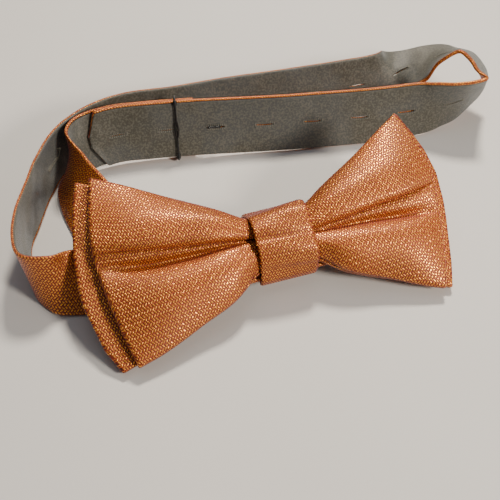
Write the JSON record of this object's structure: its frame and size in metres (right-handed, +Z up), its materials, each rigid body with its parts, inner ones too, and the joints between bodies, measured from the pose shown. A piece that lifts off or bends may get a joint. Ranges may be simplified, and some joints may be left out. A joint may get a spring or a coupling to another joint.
{
  "type": "bow tie",
  "caption": "Pre-tied bow tie with two layered jacquard bows under a wrapped knot, on a looped adjustable neckband with buttonholes, a sliding keeper and a hook and eye.",
  "frame": {"origin": "centre of the footprint, on the table", "axes": "+X along the bow, towards the right wing; +Y from the bow towards the neckband's loop; +Z up from the table the tie lies on"},
  "size_m": [0.2162, 0.1244, 0.036],
  "materials": {
    "face_cloth": "copper and gold jacquard, soft sheen",
    "lining_cloth": "olive-grey satin",
    "stiffener": "matt woven interlining",
    "thread": "sewing thread",
    "black_wire": "black lacquered wire, satin"
  },
  "bodies": {
    "neckband": {"long_strap_face": "face_cloth", "long_strap_interlining": "stiffener", "long_strap_lining": "lining_cloth", "short_strap_face": "face_cloth", "short_strap_interlining": "stiffener", "short_strap_lining": "lining_cloth", "size_hook": "black_wire", "size_hook_tab": "lining_cloth", "closure_hook_tab": "face_cloth", "closure_eye_tab": "face_cloth"},
    "bow": {"front_bow_cover": "face_cloth", "front_bow_interlining": "stiffener", "back_bow_cover": "face_cloth", "back_bow_interlining": "stiffener", "knot_wrap": "face_cloth", "gathering_thread": "thread", "knot_pad": "stiffener"},
    "keeper": {"keeper_wire": "black_wire"},
    "closure_hook": {"closure_hook": "black_wire"},
    "closure_eye": {"closure_eye": "black_wire"}
  },
  "joints": [
    {"name": "bow_slide", "type": "slide", "parent": "neckband", "child": "bow", "axis": [1, 0, 0], "range_m": [-0.0015, 0.006]},
    {"name": "keeper_slide", "type": "slide", "parent": "neckband", "child": "keeper", "axis": [-0.9886, 0.1501, 0.0143], "range_m": [-0.005, 0.005]},
    {"name": "closure_hook_turn", "type": "hinge", "parent": "neckband", "child": "closure_hook", "pos_m": [-0.07062, -0.00549, 0.00313], "axis": [0.9605, 0.2563, 0.1089], "range_deg": [-60, 5]},
    {"name": "closure_eye_turn", "type": "hinge", "parent": "neckband", "child": "closure_eye", "pos_m": [0.03233, -0.02929, 0.01296], "axis": [0, -0.9063, -0.4226], "range_deg": [-60, 5]}
  ]
}
